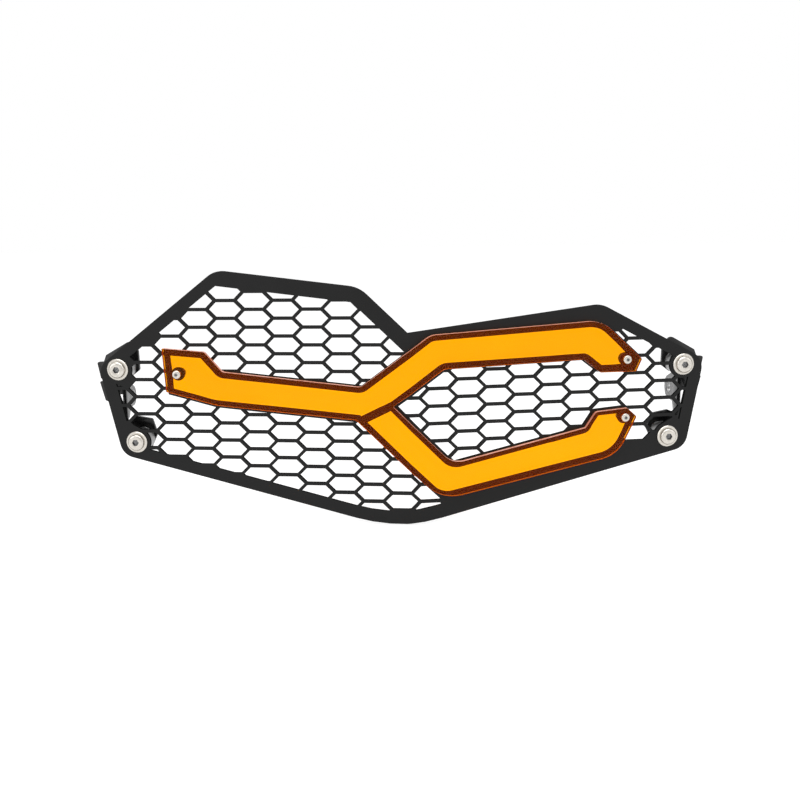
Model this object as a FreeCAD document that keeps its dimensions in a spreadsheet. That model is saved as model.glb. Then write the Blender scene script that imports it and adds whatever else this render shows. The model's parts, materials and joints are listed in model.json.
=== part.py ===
import FreeCAD, Part
import math
import os
import Sketcher

# A motorcycle headlight guard: a folded, punched grille plate with an amber accent lens on its
# front, held by four screws and spacers to two folded brackets that bolt to the headlamp's sides.
# Millimetres. X runs across the motorcycle, Y points back towards it and Z points up. The origin is
# the middle of the mounting bolts' common axis.
# Flat sizes are taken on the unfolded plate: u runs across from the fold, v runs up, and depth runs
# back from the plate's front face.

SIZES = {
    # The fold of the plate, and the mounting axis seen from the fold's front edge.
    "fold_angle": 6.7,
    "mount_depth": 56.0,
    "mount_drop": 4.0,
    # Sheet thicknesses and the layers that the screws hold together.
    "plate_thick": 2.0,
    "lens_thick": 3.0,
    "lens_gap": 1.2,
    "bracket_thick": 2.5,
    "spacer_length": 12.0,
    # Rim of the plate, clockwise from its left tip. A notch in the top edge has a sharp corner.
    "rim_left_u": -204.7, "rim_left_v": 20.9, "rim_left_round": 11.0,
    "rim_shoulder_u": -123.7, "rim_shoulder_v": 83.1, "rim_shoulder_round": 15.0,
    "rim_crest_u": -31.9, "rim_crest_v": 71.8, "rim_crest_round": 20.0,
    "rim_notch_u": -1.7, "rim_notch_v": 42.9,
    "rim_top_u": 124.3, "rim_top_v": 58.1, "rim_top_round": 15.0,
    "rim_right_u": 194.6, "rim_right_v": 20.6, "rim_right_round": 11.0,
    "rim_low_right_u": 184.0, "rim_low_right_v": -38.4, "rim_low_right_round": 11.0,
    "rim_bottom_u": -8.6, "rim_bottom_v": -85.8, "rim_bottom_round": 115.0,
    "rim_low_left_u": -192.0, "rim_low_left_v": -37.9, "rim_low_left_round": 11.0,
    # Solid borders between the rim and the mesh.
    "slope_border": 7.6,
    "crest_border": 10.0,
    "notch_border": 10.2,
    "left_border": 8.5,
    "right_border": 8.0,
    "bottom_border": 8.0,
    "keel_border": 9.0,
    "floor_start_u": 140.0, "floor_start_v": -33.0,
    "floor_end_u": 170.0, "floor_end_v": -33.0,
    "boss_radius": 10.0,
    # Mesh: long hexagons in staggered columns, with one pattern on each side.
    "strand": 1.5,
    "cell_height": 9.9,
    "column_pitch": 18.7,
    "left_cell_u": -81.1,
    "right_cell_u": 55.5,
    "cell_v": 1.1,
    "least_opening": 2.0,
    # Band under the lens, clockwise from the top of its tail: one arm that forks into two.
    "tail_top_u": -160.2, "tail_top_v": 33.1,
    "tail_crest_u": -133.8, "tail_crest_v": 30.9, "tail_crest_round": 3.0,
    "tail_step_u": -122.9, "tail_step_v": 18.6, "tail_step_round": 4.0,
    "arm_top_u": -31.5, "arm_top_v": 8.8, "arm_top_round": 5.0,
    "upper_rise_u": 12.7, "upper_rise_v": 41.5, "upper_rise_round": 12.0,
    "upper_end_u": 122.7, "upper_end_v": 47.9, "upper_end_round": 21.0,
    "upper_tip_u": 150.6, "upper_tip_v": 22.0, "upper_tip_round": 1.5,
    "upper_toe_u": 147.3, "upper_toe_v": 14.5,
    "upper_heel_u": 123.7, "upper_heel_v": 14.5,
    "upper_step_u": 113.9, "upper_step_v": 22.2, "upper_step_round": 1.5,
    "upper_inner_u": 22.2, "upper_inner_v": 18.8, "upper_inner_round": 6.0,
    "fork_u": -9.7, "fork_v": -4.2,
    "lower_inner_u": 26.9, "lower_inner_v": -41.9, "lower_inner_round": 8.0,
    "lower_step_u": 112.2, "lower_step_v": -22.3, "lower_step_round": 1.5,
    "lower_heel_u": 120.0, "lower_heel_v": -10.6, "lower_heel_round": 3.5,
    "lower_toe_u": 140.8, "lower_toe_v": -8.8,
    "lower_tip_u": 148.4, "lower_tip_v": -15.6, "lower_tip_round": 1.5,
    "lower_end_u": 135.6, "lower_end_v": -42.2, "lower_end_round": 22.0,
    "lower_fall_u": 18.9, "lower_fall_v": -66.7, "lower_fall_round": 16.0,
    "arm_low_u": -34.6, "arm_low_v": -14.4,
    "tail_low_u": -127.6, "tail_low_v": -5.1, "tail_low_round": 30.0,
    "tail_end_u": -158.5, "tail_end_v": 3.1,
    # Light slots in the band: its border, the bridge across the fork and the screws' round tabs.
    "slot_border": 4.3,
    "bridge_u": -18.75,
    "bridge_v": -7.1,
    "bridge_angle": 26.0,
    "bridge_width": 5.3,
    "bridge_length": 40.0,
    "tab_radius": 5.4,
    # Places of the screws on the unfolded plate.
    "left_upper_u": -191.8, "left_upper_v": 19.2,
    "left_lower_u": -181.9, "left_lower_v": -29.1,
    "right_upper_u": 180.6, "right_upper_v": 17.3,
    "right_lower_u": 171.4, "right_lower_v": -30.4,
    "lens_left_u": -150.9, "lens_left_v": 16.7,
    "lens_upper_u": 140.8, "lens_upper_v": 22.2,
    "lens_lower_u": 140.5, "lens_lower_v": -15.9,
    # Mounting screws, their spacers, washers and lock nuts.
    "mount_screw_radius": 3.0,
    "mount_screw_length": 25.0,
    "mount_head_radius": 5.25,
    "mount_head_height": 3.3,
    "mount_head_round": 2.0,
    "mount_flange_radius": 6.9,
    "mount_flange_thick": 1.1,
    "mount_socket": 4.0,
    "mount_socket_depth": 2.1,
    "mount_hole_play": 0.3,
    "spacer_radius": 8.5,
    "spacer_edge": 0.4,
    "washer_radius": 6.0,
    "washer_thick": 1.6,
    "mount_nut_flats": 10.0,
    "mount_nut_hex": 4.6,
    "mount_nut_height": 6.0,
    "mount_nut_collar": 4.5,
    # Lens screws, their washers and nuts.
    "lens_screw_radius": 2.0,
    "lens_screw_length": 12.0,
    "lens_head_radius": 3.7,
    "lens_head_height": 2.2,
    "lens_head_round": 1.4,
    "lens_socket": 2.5,
    "lens_socket_depth": 1.3,
    "lens_hole_play": 0.2,
    "lens_washer_radius": 4.5,
    "lens_nut_flats": 7.0,
    "lens_nut_hex": 2.9,
    "lens_nut_height": 5.0,
    "lens_nut_collar": 3.1,
    # Play between a shank and the turned ring that it passes through, and small turned edges.
    "ring_play": 0.1,
    "edge_break": 0.3,
    # Bracket flange, from the upper screw: towards the middle and up. The wall folds back beside it.
    "wall_outset": 1.9,
    "ear_top_in": 6.5, "ear_top_up": 17.3,
    "ear_slope_out": 12.2, "ear_slope_up": 6.7,
    "ear_tip_out": 15.6, "ear_tip_up": 2.4,
    "hook_top_out": 19.4, "hook_top_up": 2.9,
    "hook_low_out": 17.4, "hook_low_down": 8.2,
    "relief_out": 14.6, "relief_down": 9.2,
    "spine_top_out": 19.0, "spine_top_down": 10.4,
    "spine_low_out": 15.8, "spine_low_down": 23.2,
    "spine_step_out": 5.4, "spine_step_down": 25.4,
    "ear_inner_in": 8.8, "ear_inner_up": 10.5,
    "ear_heel_in": 9.6, "ear_heel_down": 1.4,
    "ear_fold_in": 3.4, "ear_fold_down": 5.8,
    # Lower ear of the flange, from the lower screw.
    "foot_top_up": 14.3,
    "foot_inner_in": 4.6, "foot_inner_up": 12.6,
    "foot_side_in": 8.4, "foot_side_up": 2.0,
    "foot_chamfer_in": 4.8, "foot_chamfer_down": 6.2,
    "foot_bottom_in": 1.5, "foot_bottom_down": 9.0,
    "foot_heel_out": 7.0, "foot_heel_down": 8.4,
    "foot_outer_out": 11.0, "foot_outer_down": 2.0,
    # Side wall of a bracket and its round lug, from the mounting axis.
    "lug_radius": 9.5,
    "lug_hole_radius": 3.3,
    "wall_top_up": 14.3, "wall_shoulder_ahead": 11.0, "wall_shoulder_up": 13.4,
    "wall_bottom_down": 12.6, "wall_hip_ahead": 11.5, "wall_hip_down": 12.2,
}

RIM = ("rim_left", "rim_shoulder", "rim_crest", "rim_notch", "rim_top", "rim_right",
       "rim_low_right", "rim_bottom", "rim_low_left")
BAND = ("tail_top", "tail_crest", "tail_step", "arm_top", "upper_rise", "upper_end", "upper_tip",
        "upper_toe", "upper_heel", "upper_step", "upper_inner", "fork", "lower_inner",
        "lower_step", "lower_heel", "lower_toe", "lower_tip", "lower_end", "lower_fall",
        "arm_low", "tail_low", "tail_end")
MOUNT_SCREWS = ("left_upper", "left_lower", "right_upper", "right_lower")
LENS_SCREWS = ("lens_left", "lens_upper", "lens_lower")
NEAR = 0.01
OVERCUT = 1.0

doc = FreeCAD.newDocument("headlight_guard")
sheet = doc.addObject("Spreadsheet::Sheet", "Sizes")
for row, (alias, number) in enumerate(SIZES.items(), start=1):
    sheet.set("A%d" % row, alias)
    sheet.set("B%d" % row, str(number))
    sheet.setAlias("B%d" % row, alias)
doc.recompute()


def cell(text):
    """An expression that reads the words of text from the sheet, such as 'lens_gap + strand'."""
    words = text.replace("(", "( ").replace(")", " )").split()
    return " ".join("Sizes." + word if word in SIZES else word for word in words)


def value(text):
    """The number that such an expression has now."""
    return float(sheet.evalExpression(cell(text)))


FOLD = "( fold_angle * 1 deg )"
SINE = "sin" + FOLD
COSINE = "cos" + FOLD
TANGENT = "tan" + FOLD
LENS_FRONT = "( lens_gap + lens_thick )"
BRACKET_FRONT = "( plate_thick + spacer_length )"


def wall_x(side):
    """Where a bracket's side wall faces the headlamp, from the fold."""
    inward = "+" if side == "left" else "-"
    outward = "-" if side == "left" else "+"
    return "( %s_upper_u * %s %s %s * %s %s wall_outset )" % (
        side, COSINE, inward, BRACKET_FRONT, SINE, outward)


MIDDLE_X = "( %s + %s ) / 2" % (wall_x("left"), wall_x("right"))


def bind(thing, place, text):
    thing.setExpression(place, cell(text))


def set_at(thing, across="0", back="0", up="0"):
    """Puts a piece drawn from the fold's front edge into the part's own frame."""
    bind(thing, "Placement.Base.x", "%s - %s" % (across, MIDDLE_X))
    bind(thing, "Placement.Base.y", "%s - mount_depth" % back)
    bind(thing, "Placement.Base.z", "%s + mount_drop" % up)


def turn_to_wing(thing, place, side):
    """Turns a piece about the fold so that it lies along the left or right wing."""
    way = -1 if side == "left" else 1
    axis = FreeCAD.Vector(0, 0, way)
    if place.startswith("Attachment"):
        axis = FreeCAD.Vector(0, way, 0)
    placement = FreeCAD.Placement(FreeCAD.Vector(), FreeCAD.Rotation(axis, value("fold_angle")))
    setattr(thing, place, placement)
    bind(thing, place + ".Rotation.Angle", "fold_angle * 1 deg")


def body_named(label):
    body = doc.addObject("PartDesign::Body", label)
    body.Label = label
    return body


def sketch_on(body, name, role):
    plane = next(item for item in body.Origin.OriginFeatures if item.Role == role)
    sketch = body.newObject("Sketcher::SketchObject", name)
    sketch.AttachmentSupport = (plane, "")
    sketch.MapMode = "FlatFace"
    return sketch


def fix_point(sketch, geometry, point, corner):
    """Holds one point of a sketch at two expressions, measured from the sketch's origin."""
    for kind, text in (("DistanceX", corner[0]), ("DistanceY", corner[1])):
        index = sketch.addConstraint(
            Sketcher.Constraint(kind, -1, 1, geometry, point, value(text)))
        bind(sketch, "Constraints[%d]" % index, text)


def add_polygon(sketch, corners):
    first = sketch.GeometryCount
    places = [FreeCAD.Vector(value(a), value(b), 0) for a, b in corners]
    count = len(corners)
    for k in range(count):
        sketch.addGeometry(Part.LineSegment(places[k], places[(k + 1) % count]), False)
    for k in range(count):
        following = first + (k + 1) % count
        sketch.addConstraint(Sketcher.Constraint("Coincident", first + k, 2, following, 1))
    for k, corner in enumerate(corners):
        fix_point(sketch, first + k, 1, corner)


def add_circle(sketch, centre, radius):
    place = FreeCAD.Vector(value(centre[0]), value(centre[1]), 0)
    upwards = FreeCAD.Vector(0, 0, 1)
    circle = sketch.addGeometry(Part.Circle(place, upwards, value(radius)), False)
    fix_point(sketch, circle, 3, centre)
    index = sketch.addConstraint(Sketcher.Constraint("Radius", circle, value(radius)))
    bind(sketch, "Constraints[%d]" % index, radius)


def pad(body, name, sketch, length, backwards=True):
    feature = body.newObject("PartDesign::Pad", name)
    feature.Profile = sketch
    feature.Reversed = backwards
    bind(feature, "Length", length)
    body.Tip = feature
    doc.recompute()
    return feature


def pocket_through(body, name, sketch):
    feature = body.newObject("PartDesign::Pocket", name)
    feature.Profile = sketch
    feature.Type = "ThroughAll"
    feature.Midplane = True
    body.Tip = feature
    doc.recompute()
    return feature


def turned(body, name, profile):
    """A solid of revolution about the body's Y axis. The profile is (radius, depth) pairs."""
    sketch = sketch_on(body, name + "_profile", "XY_Plane")
    add_polygon(sketch, profile)
    feature = body.newObject("PartDesign::Revolution", name)
    feature.Profile = sketch
    feature.ReferenceAxis = (sketch, ["V_Axis"])
    feature.Angle = 360
    body.Tip = feature
    doc.recompute()
    return feature


def round_edges(body, feature, name, chosen, radius):
    """Rounds the edges of a feature that the test called chosen picks."""
    edges = feature.Shape.Edges
    names = ["Edge%d" % (k + 1) for k, edge in enumerate(edges) if chosen(edge)]
    fillet = body.newObject("PartDesign::Fillet", name)
    fillet.Base = (feature, names)
    bind(fillet, "Radius", radius)
    body.Tip = fillet
    doc.recompute()
    return fillet


def corner_test(across, up):
    """Picks the straight edges that run back through one corner of an outline."""
    def chosen(edge):
        ends = [vertex.Point for vertex in edge.Vertexes]
        return len(ends) == 2 and all(
            abs(end.x - across) < NEAR and abs(end.z - up) < NEAR for end in ends)
    return chosen


def rounded_outline(label, corners, names, start, thick):
    """A flat sheet with the given corners, each rounded by its own radius if it has one."""
    body = body_named(label)
    sketch = sketch_on(body, label + "_outline", "XZ_Plane")
    add_polygon(sketch, corners)
    bind(sketch, "AttachmentOffset.Base.z", "-1 * %s" % start)
    feature = pad(body, label + "_sheet", sketch, thick)
    for corner, name in zip(corners, names):
        if name + "_round" in SIZES:
            test = corner_test(value(corner[0]), value(corner[1]))
            feature = round_edges(body, feature, "%s_%s" % (label, name), test, name + "_round")
    return body


def side_of(name):
    return "left" if SIZES[name + "_u"] < 0 else "right"


def corners_of(names):
    return [(name + "_u", name + "_v") for name in names]


def holes_in(body, names, radius, shift="0"):
    """Screw holes through a flat sheet. The shift moves them out from the fold on each side."""
    sketch = sketch_on(body, body.Label + "_%s_holes" % names[0], "XZ_Plane")
    for name in names:
        way = "-1" if side_of(name) == "left" else "1"
        add_circle(sketch, ("%s_u + %s * %s" % (name, way, shift), name + "_v"), radius)
    pocket_through(body, body.Label + "_%s_bores" % names[0], sketch)


def prism(points, front, back):
    """A plain solid between two depths, over a polygon of (u, v) points."""
    ring = [FreeCAD.Vector(u, front, v) for u, v in points]
    face = Part.Face(Part.makePolygon(ring + ring[:1]))
    return face.extrude(FreeCAD.Vector(0, back - front, 0))


def disc(name, radius, front, back):
    centre = FreeCAD.Vector(value(name + "_u"), front, value(name + "_v"))
    return Part.makeCylinder(radius, back - front, centre, FreeCAD.Vector(0, 1, 0))


def shape_object(label, shape):
    thing = doc.addObject("Part::Feature", label)
    thing.Label = label
    thing.Shape = shape
    return thing


def point(name):
    return (value(name + "_u"), value(name + "_v"))


def inset_lines(edges):
    """Lines inside the given ones, as (place, direction). Edges run clockwise round a window."""
    lines = []
    for start, end, distance in edges:
        (u1, v1), (u2, v2) = point(start), point(end)
        length = math.hypot(u2 - u1, v2 - v1)
        unit = ((u2 - u1) / length, (v2 - v1) / length)
        inset = value(distance)
        lines.append(((u1 + unit[1] * inset, v1 - unit[0] * inset), unit))
    return lines


def crossing(first, second):
    """Where two lines cross, each as (place, direction)."""
    (u1, v1), a = first
    (u2, v2), b = second
    along = ((u2 - u1) * b[1] - (v2 - v1) * b[0]) / (a[0] * b[1] - a[1] * b[0])
    return (u1 + a[0] * along, v1 + a[1] * along)


def window(edges, front, back):
    """A prism over the area inside some edges, rounded where it follows a rounded rim corner."""
    lines = inset_lines(edges)
    following = lines[1:] + lines[:1]
    area = prism([crossing(a, b) for a, b in zip(lines, following)], front, back)
    for k, (start, end, distance) in enumerate(edges):
        after = edges[(k + 1) % len(edges)]
        if end != after[0] or end + "_round" not in SIZES:
            continue
        radius = value(end + "_round") - max(value(distance), value(after[2]))
        if radius > 0:
            test = corner_test(*crossing(lines[k], following[k]))
            area = area.makeFillet(radius, [item for item in area.Edges if test(item)])
    return area


def mesh_windows(front, back):
    """The two areas of the plate that carry the mesh. Their hidden edges lie under the band."""
    left = window([
        ("rim_left", "rim_shoulder", "slope_border"),
        ("rim_shoulder", "rim_crest", "crest_border"),
        ("rim_crest", "rim_notch", "notch_border"),
        ("upper_rise", "arm_top", "-0.5 * slot_border"),
        ("arm_low", "lower_fall", "0"),
        ("rim_low_right", "rim_bottom", "keel_border"),
        ("rim_bottom", "rim_low_left", "bottom_border"),
        ("rim_low_left", "rim_left", "left_border"),
    ], front, back)
    right = window([
        ("arm_top", "upper_rise", "0.5 * slot_border"),
        ("upper_rise", "upper_end", "0.5 * slot_border"),
        ("rim_top", "rim_right", "slope_border"),
        ("rim_right", "rim_low_right", "right_border"),
        ("floor_end", "floor_start", "0"),
        ("lower_step", "lower_inner", "-0.5 * slot_border"),
        ("lower_fall", "arm_low", "0.5 * slot_border"),
    ], front, back)
    return {"left": left, "right": right}


def hexagon(centre_u, centre_v):
    """One mesh opening: flat above and below, with slants of 45 degrees to a point at each end."""
    half = value("cell_height") / 2
    row = value("cell_height") + value("strand")
    flat = (value("column_pitch") - value("cell_height")
            - value("strand") * math.sqrt(2) + row / 2)
    places = ((-flat / 2 - half, 0), (-flat / 2, half), (flat / 2, half),
              (flat / 2 + half, 0), (flat / 2, -half), (-flat / 2, -half))
    return [(centre_u + u, centre_v + v) for u, v in places]


def cells_over(area, first_u, front, back):
    """Every mesh cell that can reach an area, as prisms in one compound."""
    row = value("cell_height") + value("strand")
    column = value("column_pitch")
    first_v = value("cell_v")
    box = area.BoundBox
    prisms = []
    for k in range(math.floor((box.XMin - first_u) / column) - 1,
                   math.ceil((box.XMax - first_u) / column) + 2):
        shift = row / 2 if k % 2 else 0
        for n in range(math.floor((box.ZMin - first_v) / row) - 1,
                       math.ceil((box.ZMax - first_v) / row) + 2):
            places = hexagon(first_u + k * column, first_v + shift + n * row)
            prisms.append(prism(places, front, back))
    return Part.makeCompound(prisms)


def mesh_openings(band, front, back):
    """What the mesh cuts from the plate: the cells inside each window, clear of band and bosses."""
    kept = [band.Shape] + [disc(name, value("boss_radius"), front, back) for name in MOUNT_SCREWS]
    least = value("least_opening") * (back - front)
    openings = []
    for side, area in mesh_windows(front, back).items():
        cells = cells_over(area, value(side + "_cell_u"), front, back)
        clipped = area.cut(kept).common(cells)
        openings += [solid for solid in clipped.Solids if solid.Volume > least]
    return openings


def light_slots(band, front, back):
    """The slots that let light through the lens: the band less its border, bridge and tabs."""
    face = min(band.Shape.Faces, key=lambda item: item.CenterOfMass.y)
    inner = face.makeOffset2D(-value("slot_border"))
    slots = inner.extrude(FreeCAD.Vector(0, back - front, 0))
    length = value("bridge_length")
    width = value("bridge_width")
    bridge = Part.makeBox(length, back - front, width,
                          FreeCAD.Vector(-length / 2, front, -width / 2))
    bridge.rotate(FreeCAD.Vector(), FreeCAD.Vector(0, -1, 0), value("bridge_angle"))
    bridge.translate(FreeCAD.Vector(value("bridge_u"), 0, value("bridge_v")))
    tabs = [disc(name, value("tab_radius"), front, back) for name in LENS_SCREWS]
    return slots.cut([bridge] + tabs).Solids


def fold(flat, label, thick):
    """Folds a flat sheet back along its front crease, which stays at the frame's Z axis."""
    halves = []
    for side in ("left", "right"):
        room = doc.addObject("Part::Box", "%s_%s_room" % (label, side))
        reach = "( rim_right_u - rim_left_u )"
        bind(room, "Length", reach)
        bind(room, "Height", reach)
        bind(room, "Width", "3 * %s" % thick)
        bind(room, "Placement.Base.x", "-1 * %s" % reach if side == "left" else "0")
        bind(room, "Placement.Base.y", "-1 * %s" % thick)
        bind(room, "Placement.Base.z", "-0.5 * %s" % reach)
        half = doc.addObject("Part::Common", "%s_%s_half" % (label, side))
        half.Base = flat
        half.Tool = room
        turn_to_wing(half, "Placement", side)
        halves.append(half)
    whole = doc.addObject("Part::Fuse", label)
    whole.Base = halves[0]
    whole.Tool = halves[1]
    whole.Label = label
    doc.recompute()
    return whole


def folded_cuts(openings, front, back):
    """The flat openings, parted at the fold and laid along the two wings."""
    reach = max(abs(edge) for solid in openings
                for edge in (solid.BoundBox.XMin, solid.BoundBox.XMax)) + OVERCUT
    sides = []
    for side, low_u in (("left", -reach), ("right", 0)):
        room = Part.makeBox(reach, back - front, 2 * reach, FreeCAD.Vector(low_u, front, -reach))
        near = [solid for solid in openings if solid.BoundBox.XMin < low_u + reach - NEAR
                and solid.BoundBox.XMax > low_u + NEAR]
        parted = [solid.common(room) if solid.BoundBox.XMin < 0 < solid.BoundBox.XMax else solid
                  for solid in near]
        cuts = shape_object(side + "_cuts", Part.makeCompound(parted))
        turn_to_wing(cuts, "Placement", side)
        sides.append(cuts)
    both = doc.addObject("Part::Compound", "plate_cuts")
    both.Links = sides
    return both


def grille_plate():
    blank = rounded_outline("plate_blank", corners_of(RIM), RIM, "0", "plate_thick")
    holes_in(blank, MOUNT_SCREWS, "mount_screw_radius + mount_hole_play")
    holes_in(blank, LENS_SCREWS, "lens_screw_radius + lens_hole_play")
    band = rounded_outline("band", corners_of(BAND), BAND, "( -%s )" % OVERCUT,
                           "plate_thick + 2 * %s" % OVERCUT)
    front = -OVERCUT
    back = value("plate_thick") + OVERCUT
    openings = mesh_openings(band, front, back) + light_slots(band, front, back)
    plate = doc.addObject("Part::Cut", "grille_plate")
    plate.Base = fold(blank, "folded_blank", "plate_thick")
    plate.Tool = folded_cuts(openings, front, back)
    plate.Label = "grille_plate"
    set_at(plate)
    doc.recompute()
    return plate


def accent_lens():
    """The lens follows the band. On the outside of the fold its flat form is a little wider."""
    widening = "%s * %s" % (LENS_FRONT, TANGENT)
    corners = []
    for name in BAND:
        way = "-" if side_of(name) == "left" else "+"
        corners.append(("%s_u %s %s" % (name, way, widening), name + "_v"))
    blank = rounded_outline("lens_blank", corners, BAND, "0", "lens_thick")
    holes_in(blank, LENS_SCREWS, "lens_screw_radius + lens_hole_play", widening)
    lens = fold(blank, "accent_lens", "lens_thick")
    set_at(lens, back="-1 * %s / %s" % (LENS_FRONT, COSINE))
    return lens


def bracket(side):
    """A folded bracket: a flange with two ears behind the plate, and a wall with a lug."""
    way = "1" if side == "left" else "-1"
    body = body_named(side + "_bracket")
    upper = side + "_upper"
    lower = side + "_lower"

    def at(screw, inwards, upwards):
        return ("%s_u + %s * ( %s )" % (screw, way, inwards), "%s_v + ( %s )" % (screw, upwards))

    fold_u = "( %s / %s %s %s * %s )" % (
        wall_x(side), COSINE, "-" if side == "left" else "+", BRACKET_FRONT, TANGENT)
    corners = [
        at(upper, "ear_top_in", "ear_top_up"),
        at(upper, "-1 * ear_slope_out", "ear_slope_up"),
        at(upper, "-1 * ear_tip_out", "ear_tip_up"),
        at(upper, "-1 * hook_top_out", "hook_top_up"),
        at(upper, "-1 * hook_low_out", "-1 * hook_low_down"),
        at(upper, "-1 * relief_out", "-1 * relief_down"),
        at(upper, "-1 * spine_top_out", "-1 * spine_top_down"),
        at(upper, "-1 * spine_low_out", "-1 * spine_low_down"),
        at(upper, "-1 * spine_step_out", "-1 * spine_step_down"),
        at(lower, "-1 * foot_outer_out", "-1 * foot_outer_down"),
        at(lower, "-1 * foot_heel_out", "-1 * foot_heel_down"),
        at(lower, "foot_bottom_in", "-1 * foot_bottom_down"),
        at(lower, "foot_chamfer_in", "-1 * foot_chamfer_down"),
        at(lower, "foot_side_in", "foot_side_up"),
        at(lower, "foot_inner_in", "foot_inner_up"),
        (fold_u, "%s_v + foot_top_up" % lower),
        (fold_u, "%s_v - ear_fold_down" % upper),
        at(upper, "ear_fold_in", "-1 * ear_fold_down"),
        at(upper, "ear_heel_in", "-1 * ear_heel_down"),
        at(upper, "ear_inner_in", "ear_inner_up"),
    ]
    outline = sketch_on(body, side + "_flange_outline", "XZ_Plane")
    place_on_wing(outline, side)
    add_polygon(outline, corners)
    pad(body, side + "_flange", outline, "bracket_thick")
    holes = sketch_on(body, side + "_flange_holes", "XZ_Plane")
    place_on_wing(holes, side)
    for screw in (upper, lower):
        add_circle(holes, (screw + "_u", screw + "_v"), "mount_screw_radius + mount_hole_play")
    pocket_through(body, side + "_flange_bores", holes)

    # The wall starts inside the flange's thickness and runs straight back to the lug.
    front_y = "( %s * %s * %s + ( %s + bracket_thick / 2 ) / %s )" % (
        "-1" if side == "left" else "1", wall_x(side), TANGENT, BRACKET_FRONT, COSINE)
    axis_z = "( -1 * mount_drop )"
    wall = sketch_on(body, side + "_wall_outline", "YZ_Plane")
    bind(wall, "AttachmentOffset.Base.z", wall_x(side))
    add_polygon(wall, [
        (front_y, axis_z + " + wall_top_up"),
        ("mount_depth - wall_shoulder_ahead", axis_z + " + wall_shoulder_up"),
        ("mount_depth + 0.26 * lug_radius", axis_z + " + 0.9656 * lug_radius"),
        ("mount_depth", axis_z),
        ("mount_depth - 0.1 * lug_radius", axis_z + " - 0.995 * lug_radius"),
        ("mount_depth - wall_hip_ahead", axis_z + " - wall_hip_down"),
        (front_y, axis_z + " - wall_bottom_down"),
    ])
    pad(body, side + "_wall", wall, "bracket_thick", backwards=side == "left")
    lug = sketch_on(body, side + "_lug_outline", "YZ_Plane")
    bind(lug, "AttachmentOffset.Base.z", wall_x(side))
    add_circle(lug, ("mount_depth", axis_z), "lug_radius")
    pad(body, side + "_lug", lug, "bracket_thick", backwards=side == "left")
    bore = sketch_on(body, side + "_lug_hole", "YZ_Plane")
    bind(bore, "AttachmentOffset.Base.z", wall_x(side))
    add_circle(bore, ("mount_depth", axis_z), "lug_hole_radius")
    pocket_through(body, side + "_lug_bore", bore)
    set_at(body)
    return body


def place_on_wing(sketch, side):
    """Lays a bracket's flange sketch along its wing, one spacer's length behind the plate."""
    turn_to_wing(sketch, "AttachmentOffset", side)
    way = "1" if side == "left" else "-1"
    bind(sketch, "AttachmentOffset.Base.x", "%s * %s * %s" % (way, BRACKET_FRONT, SINE))
    bind(sketch, "AttachmentOffset.Base.z", "-1 * %s * %s" % (BRACKET_FRONT, COSINE))


def on_screw_axis(label, screw):
    """A body whose Y axis is a screw's axis, with Y zero on the plate's front face."""
    body = body_named(label)
    side = side_of(screw)
    way = "-1" if side == "left" else "1"
    turn_to_wing(body, "Placement", side)
    set_at(body, across="%s_u * %s" % (screw, COSINE),
           back="%s * %s_u * %s" % (way, screw, SINE), up=screw + "_v")
    return body


def ring(label, screw, outer, bore, front, back, edge_size):
    """A washer or spacer between two depths, with small turned edges."""
    body = on_screw_axis(label, screw)
    turned(body, label + "_ring", [
        (bore, front),
        ("%s - %s" % (outer, edge_size), front),
        (outer, "%s + %s" % (front, edge_size)),
        (outer, "%s - %s" % (back, edge_size)),
        ("%s - %s" % (outer, edge_size), back),
        (bore, back),
    ])
    return body


def hexagon_corners(flats):
    """Corners of a hexagon over its flats, as expressions, with two corners level."""
    corners = []
    for k in range(6):
        corners.append(("%s / sqrt( 3 ) * cos( %d deg )" % (flats, 60 * k),
                        "%s / sqrt( 3 ) * sin( %d deg )" % (flats, 60 * k)))
    return corners


def button_screw(label, screw, kind, seat):
    """A button head screw. Mounting screws have a flange under the head as one with it."""
    body = on_screw_axis(label, screw)
    top = "%s - %s_head_height" % (seat, kind)
    shank = kind + "_screw_radius"
    tip = "%s + %s_screw_length" % (seat, kind)
    profile = [("0", top), (kind + "_head_radius", top)]
    if kind == "mount":
        step = "%s - mount_flange_thick" % seat
        profile += [("mount_head_radius", step), ("mount_flange_radius", step),
                    ("mount_flange_radius", seat)]
    else:
        profile += [("lens_head_radius", seat)]
    profile += [(shank, seat), (shank, tip + " - 2 * edge_break"),
                (shank + " - 2 * edge_break", tip), ("0", tip)]
    solid = turned(body, label + "_blank", profile)
    radius = value(kind + "_head_radius")
    depth = value(top)

    def head_edge(candidate):
        curve = candidate.Curve
        return (hasattr(curve, "Radius") and abs(curve.Radius - radius) < NEAR
                and abs(curve.Center.y - depth) < NEAR)

    round_edges(body, solid, label + "_dome", head_edge, kind + "_head_round")
    socket = sketch_on(body, label + "_socket_outline", "XZ_Plane")
    add_polygon(socket, hexagon_corners(kind + "_socket"))
    bind(socket, "AttachmentOffset.Base.z", "-1 * ( %s )" % top)
    feature = body.newObject("PartDesign::Pocket", label + "_socket")
    feature.Profile = socket
    feature.Reversed = False
    bind(feature, "Length", kind + "_socket_depth")
    body.Tip = feature
    doc.recompute()
    return body


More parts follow.
